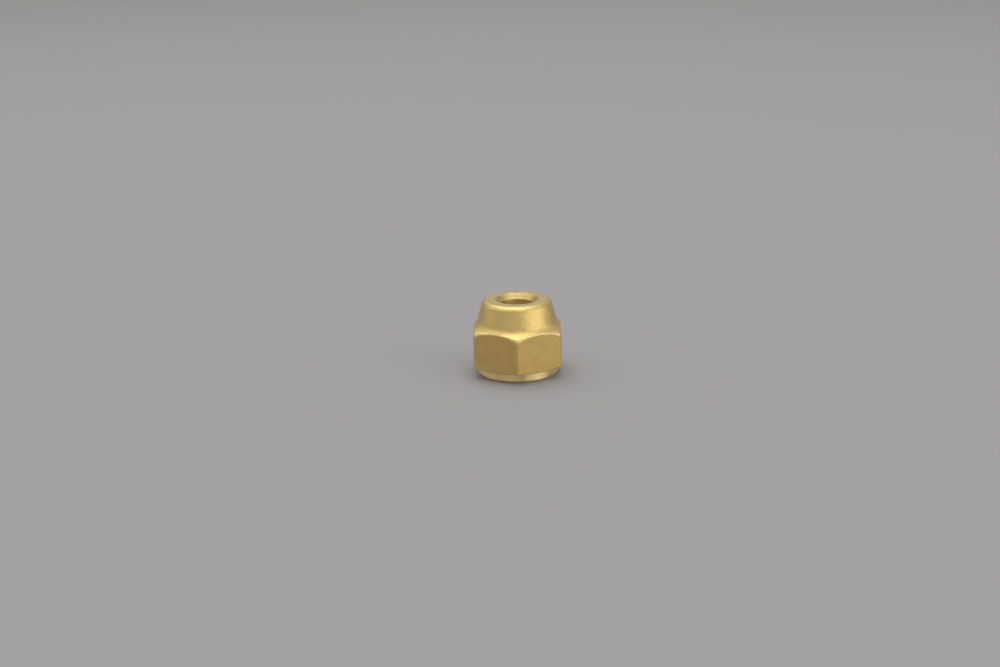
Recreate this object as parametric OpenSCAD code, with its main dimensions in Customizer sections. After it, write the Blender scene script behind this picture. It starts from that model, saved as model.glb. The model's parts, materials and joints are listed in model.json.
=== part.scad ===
// Forged flare nut for soft copper tube. It stands on its threaded end, with the tapered nose up.
// A hexagon for the spanner sits between a turned collar below and the nose above. The bore runs
// right through in steps: thread, 45 degree seat for the tube's flared end, tube bore, countersink.

/* [Overall] */
// Length from the collar's end face to the top of the nose
nut_l = 14.8; // [13.5:0.1:20]

/* [Hexagon] */
// Width across the flats
hex_af = 17; // [16.8:0.1:22]
// Radius of the rounded upright corners
hex_corner_r = 0.7; // [0.3:0.1:2]
// Slope of the chamfer on the shoulder, from level
shoulder_angle = 22; // [15:1:40]
// Slope of the undercut chamfer above the collar, from level
foot_angle = 15; // [5:1:30]

/* [Collar] */
// Diameter of the turned collar at the threaded end
collar_d = 15.7; // [14.5:0.1:16.5]
// Height of the collar
collar_h = 1.8; // [1:0.1:4]
// Width of the bevel round the collar's end face
collar_bevel = 0.45; // [0.1:0.05:0.6]

/* [Nose] */
// Diameter where the taper would meet the shoulder if there were no fillet
nose_foot_d = 16; // [15:0.1:16.4]
// Height of that meeting point above the collar's end face
nose_foot_z = 9.9; // [8:0.05:11]
// Slope of the nose's side, from upright
nose_taper = 15.5; // [5:0.5:20]
// Radius of the forged fillet between shoulder and taper
nose_fillet_r = 1.8; // [0.5:0.1:2.5]
// Radius of the rounded rim at the top
rim_round_r = 1.2; // [0.4:0.1:1.6]

/* [Tube bore] */
// Outside diameter of the tube that passes through the nose
tube_d = 6.35; // [4.76:0.01:7]
// Extra diameter of the bore over the tube
tube_clearance = 0.1; // [0.05:0.01:0.4]
// Width of the countersink round the bore's upper end
csk_w = 0.9; // [0.3:0.1:1.3]
// Depth of the countersink
csk_depth = 0.95; // [0.3:0.05:1.5]

/* [Thread] */
// Major diameter of the internal thread
thread_d = 11.11; // [9.5:0.01:12]
// Pitch of the thread
thread_pitch = 1.27; // [1:0.01:1.5]
// Depth of the threaded bore, from the end face to the seat
thread_l = 8.7; // [6:0.1:10]
// Width of the lead-in chamfer outside the thread's major diameter
mouth_w = 0.25; // [0.1:0.05:0.6]
// Slope of the seat that bears on the flared tube, from the axis
seat_angle = 45; // [35:1:50]

/* [Hidden] */
$fn = 96;
// How far a cutting shape reaches past what it trims
cut_over = 1;
// How far a rounding circle passes the faces that it blends, so that they cross in a clean edge
blend_lap = 0.001;
// Depth of a 60 degree internal thread on the diameter, as a share of its pitch
thread_depth_ratio = 1.0825;
brass = [0.72, 0.6, 0.36];

collar_r = collar_d / 2;
nose_foot_r = nose_foot_d / 2;
bore_r = (tube_d + tube_clearance) / 2;
csk_r = bore_r + csk_w;
thread_minor_r = (thread_d - thread_depth_ratio * thread_pitch) / 2;
mouth_r = thread_d / 2 + mouth_w;
seat_h = (thread_minor_r - bore_r) / tan(seat_angle);

// Distance of the corners' rounding centres from the axis, and a radius outside the corners
hex_corner_at = (hex_af / 2 - hex_corner_r) / cos(30);
clear_r = hex_corner_at + hex_corner_r + cut_over;

// Unit vector at an angle
function toward(a) = [cos(a), sin(a)];

// Radius of the nose's taper at a height, before its ends are rounded
function taper_r(z) = nose_foot_r - (z - nose_foot_z) * tan(nose_taper);

// Centre of the fillet at the nose's foot, one radius off both the shoulder and the taper
fillet_half = (90 + nose_taper + shoulder_angle) / 2;
fillet_at = [nose_foot_r, nose_foot_z]
    + nose_fillet_r / sin(fillet_half) * toward(fillet_half - shoulder_angle);

// Centre of the rim's rounding, one radius inside both the taper and the flat top
rim_z = nut_l - rim_round_r;
rim_side_z = rim_z + rim_round_r * sin(nose_taper);
rim_at = [taper_r(rim_side_z) - rim_round_r * cos(nose_taper), rim_z];

// Hexagon with rounded corners. One corner points along -Y, so two flats face along X.
// The outline passes through each corner's rounding centre, and a circle fills it out.
module hexagon() {
    angles = [for (side = [0:5]) 30 + 60 * side];
    polygon([for (a = angles) each [
        hex_corner_at * toward(a) + hex_corner_r * toward(a - 30),
        hex_corner_at * toward(a),
        hex_corner_at * toward(a) + hex_corner_r * toward(a + 30),
    ]]);
    for (a = angles)
        translate(hex_corner_at * toward(a)) circle(hex_corner_r + blend_lap);
}

// Half section of all that is turned or forged round: collar, chamfers and nose.
// The outline passes through the centres of the rim and the fillet, which a circle fills or cuts.
module turned_section() {
    difference() {
        union() {
            polygon([
                [0, 0],
                [collar_r - collar_bevel, 0],
                [collar_r, collar_bevel],
                [collar_r, collar_h],
                [clear_r, collar_h + (clear_r - collar_r) * tan(foot_angle)],
                [clear_r, nose_foot_z - (clear_r - nose_foot_r) * tan(shoulder_angle)],
                fillet_at + nose_fillet_r * toward(270 - shoulder_angle),
                fillet_at,
                fillet_at + nose_fillet_r * toward(180 + nose_taper),
                rim_at + rim_round_r * toward(nose_taper),
                rim_at,
                rim_at + rim_round_r * toward(90),
                [0, nut_l],
            ]);
            translate(rim_at) circle(rim_round_r + blend_lap);
        }
        translate(fillet_at) circle(nose_fillet_r + blend_lap);
    }
}

// Half section of the stepped hole, from the threaded mouth up to the countersink
module bore_section() {
    polygon([
        [0, -cut_over],
        [mouth_r, -cut_over],
        [mouth_r, 0],
        [thread_minor_r, mouth_r - thread_minor_r],
        [thread_minor_r, thread_l],
        [bore_r, thread_l + seat_h],
        [bore_r, nut_l - csk_depth],
        [csk_r, nut_l],
        [csk_r, nut_l + cut_over],
        [0, nut_l + cut_over],
    ]);
}

module flare_nut() {
    color(brass) difference() {
        intersection() {
            linear_extrude(nut_l) hexagon();
            rotate_extrude() turned_section();
        }
        rotate_extrude() bore_section();
    }
}

flare_nut();
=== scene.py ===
import json
import math

import bpy
import numpy as np
from mathutils import Matrix, Vector

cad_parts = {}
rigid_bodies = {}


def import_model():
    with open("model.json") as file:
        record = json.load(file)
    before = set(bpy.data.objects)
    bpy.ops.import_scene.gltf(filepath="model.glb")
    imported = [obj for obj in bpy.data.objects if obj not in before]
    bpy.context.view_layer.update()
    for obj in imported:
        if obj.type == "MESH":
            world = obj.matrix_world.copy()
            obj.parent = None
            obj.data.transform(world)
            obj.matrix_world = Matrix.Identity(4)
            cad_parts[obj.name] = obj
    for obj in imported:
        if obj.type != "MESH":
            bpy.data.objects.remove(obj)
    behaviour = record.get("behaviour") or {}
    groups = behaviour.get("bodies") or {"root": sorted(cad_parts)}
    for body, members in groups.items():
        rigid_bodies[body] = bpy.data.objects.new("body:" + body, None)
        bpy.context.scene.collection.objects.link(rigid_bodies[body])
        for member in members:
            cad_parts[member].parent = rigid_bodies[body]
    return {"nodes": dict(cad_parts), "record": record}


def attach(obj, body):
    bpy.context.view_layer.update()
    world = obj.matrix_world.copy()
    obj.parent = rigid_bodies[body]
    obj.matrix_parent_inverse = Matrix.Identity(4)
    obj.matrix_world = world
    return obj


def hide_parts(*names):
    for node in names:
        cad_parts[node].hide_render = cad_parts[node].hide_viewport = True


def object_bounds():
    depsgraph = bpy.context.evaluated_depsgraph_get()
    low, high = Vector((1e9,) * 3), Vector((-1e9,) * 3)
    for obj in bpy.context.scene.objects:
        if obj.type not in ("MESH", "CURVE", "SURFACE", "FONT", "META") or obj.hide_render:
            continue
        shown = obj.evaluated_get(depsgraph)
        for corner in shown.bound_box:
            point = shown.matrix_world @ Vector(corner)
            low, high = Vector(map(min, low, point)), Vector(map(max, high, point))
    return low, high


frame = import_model()
cadLow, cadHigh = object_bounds()
mm = 0.001
mountSizes = {mount["name"]: mount["dims"] for mount in frame["record"]["mounts"]}
print("frame loaded:", sorted(frame["nodes"]))

# What the solids state is read from the frame, the rest repeats the design's own sizes
nutForm = {
    "length": cadHigh.z,
    "flatR": cadHigh.x,  # axis to the middle of a flat
    "cornerReach": cadHigh.y,  # axis to the outside of a rounded corner
    "shoulderSlope": 22,  # degrees from level
    "shoulderEdge": 0.4 * mm,  # width of the band inside the shoulder's rounded edge
    "shoulderSoft": 0.38,  # mm, rounding of that edge over a flat
    "bluntEdge": 0.6 * mm,  # how much wider the band is at a corner
    "bluntSoft": 0.75,  # mm, how much rounder its edge is there
    "bluntReach": 12,  # degrees either side of the corner
    "footSlope": 15,
    "collarR": 7.85 * mm,
    "collarH": 1.8 * mm,
    "collarBevel": 0.45 * mm,
    "noseFootR": 8 * mm,
    "noseFootZ": 9.9 * mm,
    "noseFillet": 1.8 * mm,
    "noseTaper": 15.5,  # degrees from upright
    "cskR": 4.125 * mm,
    "cskDepth": 0.95 * mm,
    "boreR": mountSizes["tube_bore"]["r_mm"] * mm,
    "seatSlope": 45,
    "mouthR": 5.805 * mm,
    "threadTop": 8.7 * mm,
    "threadMinorR": mountSizes["fitting_thread"]["r_mm"] * mm,
    "threadMajorR": 5.555 * mm,
    "threadPitch": 1.27 * mm,
    "runOut": 1.4,  # turns over which the thread fades out below the seat
    "runOutGap": 0.3,  # how much stays plain under the seat, as a share of those turns
    "flatSteps": 24,  # columns across one flat, and round one corner
    "cornerSteps": 10,
    "waveDepth": 0.012 * mm,  # the forging's slight unevenness
    "waveLength": 3.4 * mm,
    "waveFade": 9,  # rows over which it dies out at the end of the forged skin
    "rubLimit": 0.5,  # mm, edges rounder than this aren't rubbed
    "cornerRub": 0.25,  # how much of the rub the hexagon's upright corners get
    "rubReach": 1.6,  # its width there, in widths of the corner's rounding
    "rubFrom": 1.02,  # it starts at this many times the radius of the nose's foot
}

# Material slot of each finish, in the order in which the nut gets its materials
brassSlots = {"forged": 0, "fillet": 0, "flat": 1, "turned": 2, "thread": 3, "bore": 3}


# Eases a share from 0 to 1: three times its square less twice its cube
def eased(share):
    return share * share * (3 - 2 * share)


# Each vector of an array over its own length
def unit(vectors):
    return vectors / np.linalg.norm(vectors, axis=-1, keepdims=True)


# Columns round the axis: even steps over each flat, finer ones round each corner. The radius is
# flatR over the cosine on a flat, and the far side of the corner's rounding circle elsewhere.
def hexColumns(form):
    sixth = math.pi / 3
    sharp = form["flatR"] / math.cos(sixth / 2)
    cornerR = (sharp - form["cornerReach"]) / (1 / math.cos(sixth / 2) - 1)
    centre = (form["flatR"] - cornerR) / math.cos(sixth / 2)
    flatEnd = math.atan2(centre * math.sin(sixth / 2), form["flatR"])
    flat = np.linspace(-flatEnd, flatEnd, form["flatSteps"], endpoint=False)
    corner = np.linspace(flatEnd, sixth - flatEnd, form["cornerSteps"], endpoint=False)
    oneSide = np.concatenate([flat, corner])
    angle = (oneSide[None, :] + sixth * np.arange(6)[:, None]).ravel()
    fromFlat = np.abs((angle + sixth / 2) % sixth - sixth / 2)
    fromCorner = sixth / 2 - fromFlat
    across = np.maximum(cornerR**2 - (centre * np.sin(fromCorner)) ** 2, 0)
    rounded = centre * np.cos(fromCorner) + np.sqrt(across)
    radius = np.where(fromFlat > flatEnd, rounded, form["flatR"] / np.cos(fromFlat))
    onCorner = np.clip(1 - fromCorner / (form["rubReach"] * (sixth / 2 - flatEnd)), 0, 1)
    near = np.clip(1 - fromCorner / math.radians(form["bluntReach"]), 0, 1)
    return angle, radius, onCorner, eased(near)


# Middle of the fillet's circle, one fillet radius off both the nose's side and the shoulder
def filletCentre(form):
    taper = math.radians(form["noseTaper"])
    slope = math.radians(form["shoulderSlope"])
    half = (math.pi / 2 + taper + slope) / 2
    reach = form["noseFillet"] / math.sin(half)
    return (form["noseFootR"] + reach * math.cos(half - slope),
            form["noseFootZ"] + reach * math.sin(half - slope))


# Height and fall of the shoulder at a radius: the lower side of the fillet's circle as far as the
# point where it touches the straight slope, then that slope
def shoulderAt(form, radius):
    slope = math.radians(form["shoulderSlope"])
    fillet = form["noseFillet"]
    leastDrop = fillet / 10  # keeps the root from zero where the circle isn't used
    middleR, middleZ = filletCentre(form)
    out = radius - middleR
    drop = np.sqrt(np.maximum(fillet**2 - out**2, leastDrop**2))
    straight = form["noseFootZ"] - (radius - form["noseFootR"]) * math.tan(slope)
    onArc = out < -fillet * math.sin(slope)
    height = np.where(onArc, middleZ - drop, straight)
    fall = np.where(onArc, -out / drop, math.tan(slope))
    return height, fall


# The half section as a closed ring of corners, from the bore over the nose and back up the inside.
# A line gives a corner's radius and height, its softening in mm, the steps round it, the steps to
# the next corner and the finish on the way there.
def sectionCorners(form, hexR, blunt):
    f = form
    foot = math.tan(math.radians(f["footSlope"]))
    taper = math.radians(f["noseTaper"])
    rimR = f["noseFootR"] - (f["length"] - f["noseFootZ"]) * math.tan(taper)
    middleR, middleZ = filletCentre(f)
    filletTopR = middleR - f["noseFillet"] * math.cos(taper)
    filletTopZ = middleZ - f["noseFillet"] * math.sin(taper)
    band = f["shoulderEdge"] + f["bluntEdge"] * blunt
    bandZ, bandFall = shoulderAt(f, hexR - band)
    shoulderZ = bandZ - bandFall * band
    shoulderSoft = f["shoulderSoft"] + f["bluntSoft"] * blunt
    footZ = f["collarH"] + (hexR - f["collarR"]) * foot
    mouthDepth = f["mouthR"] - f["threadMinorR"]
    seatRise = (f["threadMinorR"] - f["boreR"]) / math.tan(math.radians(f["seatSlope"]))
    return {
        "cskFoot": (f["boreR"], f["length"] - f["cskDepth"], 0.15, 5, 10, "bore"),
        "cskRim": (f["cskR"], f["length"], 0.3, 8, 8, "forged"),
        "noseRim": (rimR, f["length"], 1.2, 18, 24, "forged"),
        "filletTop": (filletTopR, filletTopZ, 0, 0, 22, "fillet"),
        "filletEnd": (hexR - band, bandZ, 0, 0, 3, "forged"),
        "shoulder": (hexR, shoulderZ, shoulderSoft, 10, 26, "flat"),
        "hexFoot": (hexR, footZ, 0.28, 6, 6, "turned"),
        "collarTop": (f["collarR"], f["collarH"], 0.1, 4, 12, "turned"),
        "collarEdge": (f["collarR"], f["collarBevel"], 0.1, 4, 2, "turned"),
        "endEdge": (f["collarR"] - f["collarBevel"], 0, 0.08, 4, 10, "turned"),
        "mouthEdge": (f["mouthR"], 0, 0.06, 3, 22, "thread"),
        "mouthFoot": (f["threadMinorR"], mouthDepth, 0, 0, 150, "thread"),
        "seatFoot": (f["threadMinorR"], f["threadTop"], 0.1, 3, 10, "bore"),
        "seatTop": (f["boreR"], f["threadTop"] + seatRise, 0.2, 4, 16, "bore"),
    }


# Carries the corners round every column at once. Each corner becomes an arc that is tangent to both
# of its sides: its centre lies on the bisector, one softening radius over the half angle's sine out.
# An arc has the finish of the run before it.
def roundedSection(corners, columnCount, rubLimit):
    plan = list(corners.values())
    ring = np.stack([np.stack(np.broadcast_arrays(r, z, np.zeros(columnCount))[:2], -1)
                     for r, z, *_ in plan], 1)
    soft = np.stack([np.broadcast_to(line[2] * mm, columnCount) for line in plan], 1)[..., None]
    back = unit(np.roll(ring, 1, axis=1) - ring)
    ahead = unit(np.roll(ring, -1, axis=1) - ring)
    half = np.arccos(np.clip((back * ahead).sum(-1, keepdims=True), -1, 1)) / 2
    enter = ring + back * soft / np.tan(half)
    leave = ring + ahead * soft / np.tan(half)
    centre = ring + unit(back + ahead) * soft / np.sin(half)
    nextEnter = np.roll(enter, -1, axis=1)
    rows, finish, edge = [], [], []
    for k, (_, _, softening, arcSteps, runSteps, look) in enumerate(plan):
        turn = (math.pi - 2 * half[:, k])[:, None]
        share = np.linspace(0, 1, arcSteps + 1)[None, :, None]
        fromSpoke = (enter[:, k] - centre[:, k])[:, None]
        toSpoke = (leave[:, k] - centre[:, k])[:, None]
        swing = np.sin((1 - share) * turn) * fromSpoke + np.sin(share * turn) * toSpoke
        even = np.linspace(0, 1, runSteps + 1)[1:-1]
        crowded = 0.5 - 0.5 * np.cos(math.pi * even)  # closer together at both ends
        along = (even if look == "thread" else crowded)[None, :, None]
        run = leave[:, k, None] * (1 - along) + nextEnter[:, k, None] * along
        rows += [centre[:, k, None] + swing / np.sin(turn), run]
        finish += [plan[k - 1][-1]] * arcSteps + [look] * runSteps
        rubbed = float(0 < np.min(softening) < rubLimit)
        edge += [rubbed] * (arcSteps + 1) + [0.0] * (runSteps - 1)
    return np.concatenate(rows, axis=1), np.array(finish), np.array(edge)


# Groove of a right-hand 60 degree thread, from 0 on the crest to 1 at the root. The place in the turn
# is height over pitch less the angle's share of a turn; the mean of three places rounds the edges.
def threadGroove(form, angle, height):
    rootHalf = 1 / 16  # in pitches, like the next two
    flank = 5 / 16
    blur = 0.02
    place = height / form["threadPitch"] - angle / (2 * math.pi)
    fromRoot = np.stack([np.abs((place + shift) % 1 - 0.5) for shift in (-blur, 0, blur)])
    groove = np.clip((rootHalf + flank - fromRoot) / flank, 0, 1).mean(0)
    left = (form["threadTop"] - height) / (form["runOut"] * form["threadPitch"]) - form["runOutGap"]
    return groove * eased(np.clip(left, 0, 1))


# Slow swell of a forged face: the mean of three sine waves that cross at different slants
def forgeWave(points, waveLength):
    slants = np.array([[1, 0.4, 0.7], [-0.5, 1, 0.6], [0.3, -0.8, 1.1]])
    starts = np.array([0.3, 1.9, 4.1])
    phase = points @ slants.T * (2 * math.pi / waveLength) + starts
    return np.sin(phase).mean(-1)


# A grid of columns round the axis by rows along the section, closed both ways
def buildNut(form):
    angle, hexR, onCorner, blunt = hexColumns(form)
    corners = sectionCorners(form, hexR, blunt)
    section, finish, edge = roundedSection(corners, len(angle), form["rubLimit"])
    r = section[..., 0]
    z = np.where(finish == "fillet", shoulderAt(form, r)[0], section[..., 1])
    deep = form["threadMajorR"] - form["threadMinorR"]
    groove = threadGroove(form, angle[:, None], z)
    r = np.where(finish == "thread", np.maximum(r, form["threadMinorR"] + deep * groove), r)
    points = np.stack([r * np.cos(angle)[:, None], r * np.sin(angle)[:, None], z], -1)

    # Outward normal from the grid's own neighbours, then the swell along it on forged rows
    leastLength = 1e-12  # keeps a point without area from dividing by zero
    acrossRows = np.roll(points, -1, axis=1) - np.roll(points, 1, axis=1)
    acrossColumns = np.roll(points, -1, axis=0) - np.roll(points, 1, axis=0)
    normal = np.cross(acrossRows, acrossColumns)
    normal /= np.maximum(np.linalg.norm(normal, axis=-1, keepdims=True), leastLength)
    outside = np.isin(finish, ["forged", "fillet", "flat"])
    fading = np.ones(form["waveFade"]) / form["waveFade"]
    forged = np.convolve(outside.astype(float), fading, mode="same")
    swell = form["waveDepth"] * forged * forgeWave(points, form["waveLength"])
    points = points + normal * swell[..., None]

    columns, rows = points.shape[:2]
    i, j = np.meshgrid(np.arange(columns), np.arange(rows), indexing="ij")
    nextI, nextJ = (i + 1) % columns, (j + 1) % rows
    quads = np.stack([i * rows + j, i * rows + nextJ, nextI * rows + nextJ, nextI * rows + j], -1)
    mesh = bpy.data.meshes.new("nutBody")
    mesh.from_pydata(points.reshape(-1, 3).tolist(), [], quads.reshape(-1, 4).tolist(),
                     shade_flat=False)
    onFlat = outside[None, :] & (r > form["noseFootR"] * form["rubFrom"])
    softEdge = np.maximum(edge[None, :], form["cornerRub"] * onCorner[:, None] * onFlat)
    rubbed = mesh.attributes.new("softEdge", "FLOAT", "POINT")
    rubbed.data.foreach_set("value", softEdge.astype(np.float32).ravel())
    slot = np.array([brassSlots[name] for name in finish], dtype=np.int32)
    mesh.polygons.foreach_set("material_index", np.tile(slot, columns))
    mesh.validate()
    mesh.update()
    nut = bpy.data.objects.new("nutBody", mesh)
    bpy.context.scene.collection.objects.link(nut)
    print("nut body:", columns, "columns,", rows, "rows,", 2 * columns * rows, "triangles")
    return nut


# Adds a node with its settings, and links or sets its inputs
def put(tree, kind, inputs=None, **settings):
    made = tree.nodes.new(kind)
    for name, value in settings.items():
        setattr(made, name, value)
    for socket, value in (inputs or {}).items():
        if isinstance(value, bpy.types.NodeSocket):
            tree.links.new(value, made.inputs[socket])
        else:
            made.inputs[socket].default_value = value
    return made


def maths(tree, operation, *values):
    return put(tree, "ShaderNodeMath", dict(enumerate(values)), operation=operation).outputs[0]


def mixColours(tree, share, first, second):
    inputs = {0: share, 6: first, 7: second}
    return put(tree, "ShaderNodeMix", inputs, data_type="RGBA").outputs[2]


def newGroup(name, inputs, outputs):
    tree = bpy.data.node_groups.new(name, "ShaderNodeTree")
    for label, default in inputs.items():
        socket = tree.interface.new_socket(label, in_out="INPUT", socket_type="NodeSocketFloat")
        socket.default_value = default
    for label in outputs:
        tree.interface.new_socket(label, in_out="OUTPUT", socket_type="NodeSocketFloat")
    return tree, put(tree, "NodeGroupInput").outputs


grainForm = {
    "bumpDetail": 4.0,
    "bumpRough": 0.7,
    "dimpleShare": 0.3,
    "mottleDetail": 5.0,
    "mottleRough": 0.62,
    "speckleShare": 0.4,
}


# Blasted metal: fine bumps and small dimples as a height, a slow mottle and a fine speckle as a tone
def grainGroup(form):
    sizes = {"Grain Size": 0.25 * mm, "Mottle Size": 2 * mm}
    tree, given = newGroup("blastedGrain", sizes, ["Height", "Tone"])
    at = put(tree, "ShaderNodeTexCoord").outputs["Object"]
    fine = maths(tree, "DIVIDE", 1.0, given["Grain Size"])
    slow = maths(tree, "DIVIDE", 1.0, given["Mottle Size"])
    bumpForm = {"Vector": at, "Scale": fine, "Detail": form["bumpDetail"],
                "Roughness": form["bumpRough"]}
    bumps = put(tree, "ShaderNodeTexNoise", bumpForm).outputs["Fac"]
    dimpleForm = {"Vector": at, "Scale": fine, "Randomness": 1.0}
    dimples = put(tree, "ShaderNodeTexVoronoi", dimpleForm).outputs["Distance"]
    height = maths(tree, "MULTIPLY_ADD", dimples, form["dimpleShare"], bumps)
    mottleForm = {"Vector": at, "Scale": slow, "Detail": form["mottleDetail"],
                  "Roughness": form["mottleRough"]}
    mottle = put(tree, "ShaderNodeTexNoise", mottleForm).outputs["Fac"]
    tone = put(tree, "ShaderNodeMix", {0: form["speckleShare"], 2: mottle, 3: bumps}).outputs[0]
    put(tree, "NodeGroupOutput", {"Height": height, "Tone": tone})
    return tree


latheForm = {
    "ringDetail": 1.0,
    "streakScale": 0.13,  # of the rings' own scale
    "streakDetail": 3.0,
}


# Tool marks: rings that repeat along height plus radius, so they run round walls and faces alike,
# with broader streaks as a tone
def latheGroup(form):
    tree, given = newGroup("latheRings", {"Ring Pitch": 0.12 * mm}, ["Height", "Tone"])
    at = put(tree, "ShaderNodeTexCoord").outputs["Object"]
    part = put(tree, "ShaderNodeSeparateXYZ", {0: at}).outputs
    flat = put(tree, "ShaderNodeCombineXYZ", {"X": part["X"], "Y": part["Y"]}).outputs[0]
    radius = put(tree, "ShaderNodeVectorMath", {0: flat}, operation="LENGTH").outputs["Value"]
    along = maths(tree, "ADD", part["Z"], radius)
    count = maths(tree, "DIVIDE", along, given["Ring Pitch"])
    line = put(tree, "ShaderNodeCombineXYZ", {"X": count}).outputs[0]
    ringForm = {"Vector": line, "Scale": 1.0, "Detail": form["ringDetail"]}
    rings = put(tree, "ShaderNodeTexNoise", ringForm).outputs["Fac"]
    streakForm = {"Vector": line, "Scale": form["streakScale"], "Detail": form["streakDetail"]}
    streaks = put(tree, "ShaderNodeTexNoise", streakForm).outputs["Fac"]
    put(tree, "NodeGroupOutput", {"Height": rings, "Tone": streaks})
    return tree


rubForm = {
    "patchSize": 0.7 * mm,
    "patchDetail": 3.0,
    "patchFrom": 0.35,  # noise values at which a patch starts, and is full
    "patchFull": 0.65,
}


# Edges that handling has rubbed: the mesh's softEdge, broken up by a patchy noise
def rubGroup(form):
    tree, given = newGroup("edgeRub", {"Patch Size": form["patchSize"]}, ["Mask"])
    at = put(tree, "ShaderNodeTexCoord").outputs["Object"]
    edge = put(tree, "ShaderNodeAttribute", attribute_name="softEdge").outputs["Fac"]
    scale = maths(tree, "DIVIDE", 1.0, given["Patch Size"])
    patchForm = {"Vector": at, "Scale": scale, "Detail": form["patchDetail"]}
    patch = put(tree, "ShaderNodeTexNoise", patchForm).outputs["Fac"]
    patchRange = {"Value": patch, "From Min": form["patchFrom"], "From Max": form["patchFull"]}
    broken = put(tree, "ShaderNodeMapRange", patchRange).outputs[0]
    put(tree, "NodeGroupOutput", {"Mask": maths(tree, "MULTIPLY", edge, broken)})
    return tree


brassForm = {
    "toneFrom": 0.3,  # tones at which the colour is all low, and all high
    "toneFull": 0.7,
    "coatWeight": 0.6,
    "coatRough": 0.35,
    "spreadTurn": 0.25,  # of a turn, sets the wider spread of light across the marks
}
forgedLook = {
    "low": (0.635, 0.441, 0.134, 1),
    "high": (0.745, 0.552, 0.19, 1),
    "rubbed": (0.80, 0.60, 0.25, 1),
    "roughFrom": 0.31,
    "roughTo": 0.39,
    "marks": {"Grain Size": 0.3 * mm, "Mottle Size": 1.8 * mm},
    "bumpDepth": 0.078 * mm,
    "acrossMarks": 0.0,  # how much more light spreads across the marks than along them
}
flatShadedLook = dict(  # the spanner's faces are rougher and spread light up and down; their darker colour is painted shade on the hexagon's upright sides
    forgedLook,
    # these two colours are darker than the forged brass as painted shade on the upright flats
    low=(0.585, 0.383, 0.12, 1),
    high=(0.70, 0.492, 0.173, 1),
    roughFrom=0.50,
    roughTo=0.58,
    marks={"Grain Size": 0.34 * mm, "Mottle Size": 1.8 * mm},
    bumpDepth=0.1 * mm,
    acrossMarks=0.68,
)
turnedLook = {
    "low": (0.91, 0.68, 0.31, 1),
    "high": (0.97, 0.77, 0.39, 1),
    "rubbed": (0.97, 0.80, 0.44, 1),
    "roughFrom": 0.37,
    "roughTo": 0.43,
    "marks": {"Ring Pitch": 0.10 * mm},
    "bumpDepth": 0.004 * mm,
    "acrossMarks": 0.92,
}
boreShadedLook = dict(  # rougher than the collar; its darker colours are painted shade inside the hole and countersink
    turnedLook,
    # these colours, rubbed edges included, are darker than the collar's as painted shade in the bore,
    # countersink and thread
    low=(0.63, 0.45, 0.158, 1),
    high=(0.73, 0.54, 0.212, 1),
    rubbed=(0.76, 0.58, 0.26, 1),
    roughFrom=0.46,
    roughTo=0.54,
    acrossMarks=0.85,
)
grain = grainGroup(grainForm)
lathe = latheGroup(latheForm)
rub = rubGroup(rubForm)


def fillGroup(tree, made, inputs):
    return put(tree, "ShaderNodeGroup", inputs, node_tree=made).outputs


# Brass as metal: tone between two colours, a lighter one on rubbed edges, and a height for the bump
def brassMaterial(name, look, group):
    material = bpy.data.materials.new(name)
    material.use_nodes = True
    tree = material.node_tree
    tree.nodes.clear()
    marks = fillGroup(tree, group, look["marks"])
    toneRange = {"Value": marks["Tone"], "From Min": brassForm["toneFrom"],
                 "From Max": brassForm["toneFull"]}
    share = put(tree, "ShaderNodeMapRange", toneRange).outputs[0]
    body = mixColours(tree, share, look["low"], look["high"])
    mask = fillGroup(tree, rub, {"Patch Size": rubForm["patchSize"]})["Mask"]
    roughRange = {**toneRange, "To Min": look["roughTo"], "To Max": look["roughFrom"]}
    bumpForm = {"Height": marks["Height"], "Distance": look["bumpDepth"], "Strength": 1.0}
    shader = put(tree, "ShaderNodeBsdfPrincipled", {
        "Base Color": mixColours(tree, mask, body, look["rubbed"]),
        "Metallic": 1.0,
        "Roughness": put(tree, "ShaderNodeMapRange", roughRange).outputs[0],
        "Normal": put(tree, "ShaderNodeBump", bumpForm).outputs[0],
        "Anisotropic": look["acrossMarks"],
        "Anisotropic Rotation": brassForm["spreadTurn"],
        "Coat Weight": brassForm["coatWeight"],
        "Coat Roughness": brassForm["coatRough"],
    })
    put(tree, "ShaderNodeOutputMaterial", {"Surface": shader.outputs[0]})
    return material


brasses = [
    brassMaterial("forgedBrass", forgedLook, grain),
    brassMaterial("flatShadedBrass", flatShadedLook, grain),
    brassMaterial("turnedBrass", turnedLook, lathe),
    brassMaterial("boreShadedBrass", boreShadedLook, lathe),
]
print("materials:", *[brass.name for brass in brasses])

nut = buildNut(nutForm)
for brass in brasses:
    nut.data.materials.append(brass)
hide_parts("flare_nut")
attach(nut, "root")

stageLook = {
    "floorHalf": 3.0,  # metres
    "floorColour": (0.314, 0.309, 0.311, 1),
    "floorRough": 0.9,
    "floorShine": 0.1,
    "worldColour": (1.0, 0.99, 0.98, 1),
    "worldLight": 0.46,
}


# A flat square of paper under the nut, and an even sky
def buildStage(look):
    half = look["floorHalf"]
    corners = [(-half, -half, 0), (half, -half, 0), (half, half, 0), (-half, half, 0)]
    mesh = bpy.data.meshes.new("floor")
    mesh.from_pydata(corners, [], [(0, 1, 2, 3)])
    floor = bpy.data.objects.new("floor", mesh)
    bpy.context.scene.collection.objects.link(floor)
    material = bpy.data.materials.new("paper")
    material.use_nodes = True
    shader = material.node_tree.nodes["Principled BSDF"]
    shader.inputs["Base Color"].default_value = look["floorColour"]
    shader.inputs["Roughness"].default_value = look["floorRough"]
    shader.inputs["Specular IOR Level"].default_value = look["floorShine"]
    mesh.materials.append(material)
    world = bpy.data.worlds.new("studio")
    bpy.context.scene.world = world
    world.use_nodes = True
    sky = world.node_tree.nodes["Background"]
    sky.inputs["Color"].default_value = look["worldColour"]
    sky.inputs["Strength"].default_value = look["worldLight"]


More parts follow.
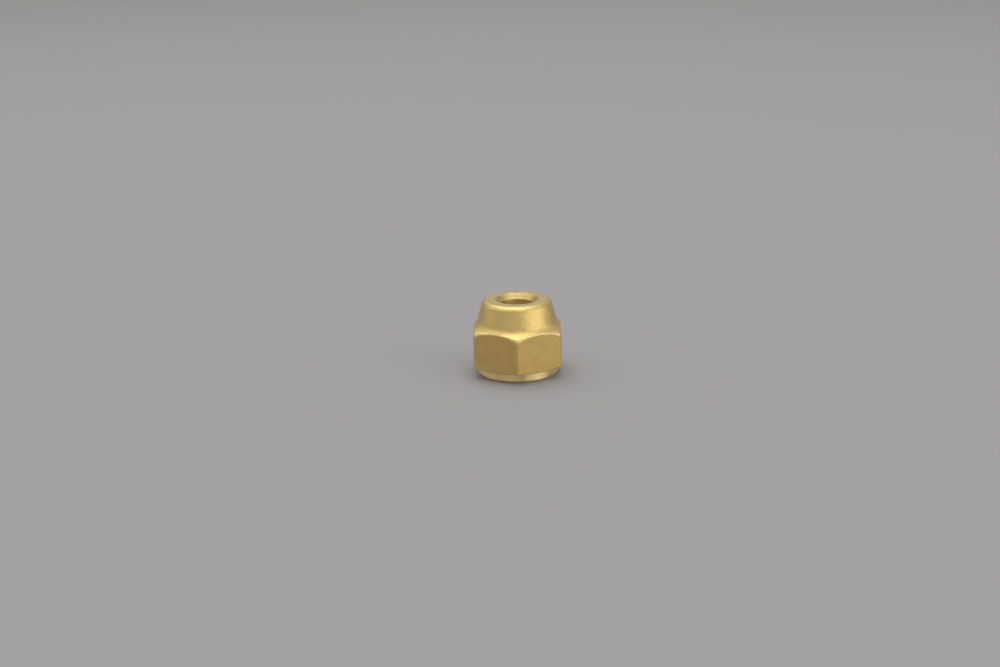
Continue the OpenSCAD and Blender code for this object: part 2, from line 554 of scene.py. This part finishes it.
# Square soft panels, all at one distance and turned to the nut: azimuth in degrees from the front
# towards the right, elevation in degrees, and how bright the panel looks
panelForm = {"distance": 1.2, "side": 0.9}  # metres
softPanels = {
    "top": (0, 90, 0.9),
    "frontHigh": (0, 70, 0.4),
    "frontLow": (-20, 10, 0.36),
    "frontRightHigh": (50, 60, 0.56),
    "frontRightLow": (44, 6, 1.1),
    "rightLow": (70, 4, 1.42),
    "rightHigh": (100, 45, 0.28),
    "frontLeftHigh": (-50, 62, 0.34),
    "leftHigh": (-100, 45, 0.50),
    "leftLow": (-92, 14, 0.3),
    "backHigh": (-165, 64, 1.7),
}


# A panel of brightness b and area a gives off pi times a times b watts
def buildLights(form, panels):
    for name, (azimuth, elevation, bright) in panels.items():
        turn = math.radians(azimuth)
        rise = math.radians(elevation)
        away = Vector((math.sin(turn) * math.cos(rise), -math.cos(turn) * math.cos(rise),
                       math.sin(rise)))
        lamp = bpy.data.lights.new(name, "AREA")
        lamp.shape = "SQUARE"
        lamp.size = form["side"]
        lamp.energy = math.pi * form["side"] ** 2 * bright
        panel = bpy.data.objects.new(name, lamp)
        panel.location = away * form["distance"]
        panel.rotation_euler = away.to_track_quat("Z", "Y").to_euler()
        bpy.context.scene.collection.objects.link(panel)


# The photograph's frame is 1000 by 667 pixels
cameraFit = {
    "imageW": 1000,
    "imageH": 667,
    "focalPx": 1700,
    "pxPerMm": 5.076,  # at the nut
    "elevation": 18,  # degrees, of the line from the nut's foot to the lens
    "turn": 0.4,  # degrees from the front corner, to the right if positive
    "roll": -1.1,
    "footX": 518.1,  # pixel of the middle of the end face
    "footY": 371.0,
    "sensorW": 36,  # mm
    "clipStart": 0.01,  # metres
}


# The lens looks along the line to the foot, turned by the foot's offset from the picture's middle
def buildCamera(fit):
    rise, turn, roll = [math.radians(fit[name]) for name in ("elevation", "turn", "roll")]
    level = Vector((math.cos(turn), math.sin(turn), 0))
    toFoot = Vector((-math.sin(turn) * math.cos(rise), math.cos(turn) * math.cos(rise),
                     -math.sin(rise)))
    above = level.cross(toFoot)
    right = level * math.cos(roll) + above * math.sin(roll)
    up = above * math.cos(roll) - level * math.sin(roll)
    offX = (fit["footX"] - fit["imageW"] / 2) / fit["focalPx"]
    offY = (fit["footY"] - fit["imageH"] / 2) / fit["focalPx"]
    look = (toFoot - right * offX + up * offY).normalized()
    right = (right - look * right.dot(look)).normalized()
    up = right.cross(look)
    lens = bpy.data.cameras.new("lens")
    lens.sensor_width = fit["sensorW"]
    lens.lens = fit["focalPx"] * fit["sensorW"] / fit["imageW"]
    lens.clip_start = fit["clipStart"]
    camera = bpy.data.objects.new("lens", lens)
    place = -toFoot * (fit["focalPx"] / fit["pxPerMm"] * mm)
    aimed = Matrix((right, up, -look)).transposed().to_4x4()
    camera.matrix_world = Matrix.Translation(place) @ aimed
    bpy.context.scene.collection.objects.link(camera)
    bpy.context.scene.camera = camera


buildStage(stageLook)
buildLights(panelForm, softPanels)
buildCamera(cameraFit)
bpy.context.scene.view_settings.view_transform = "Standard"
print("stage, lights and camera set")
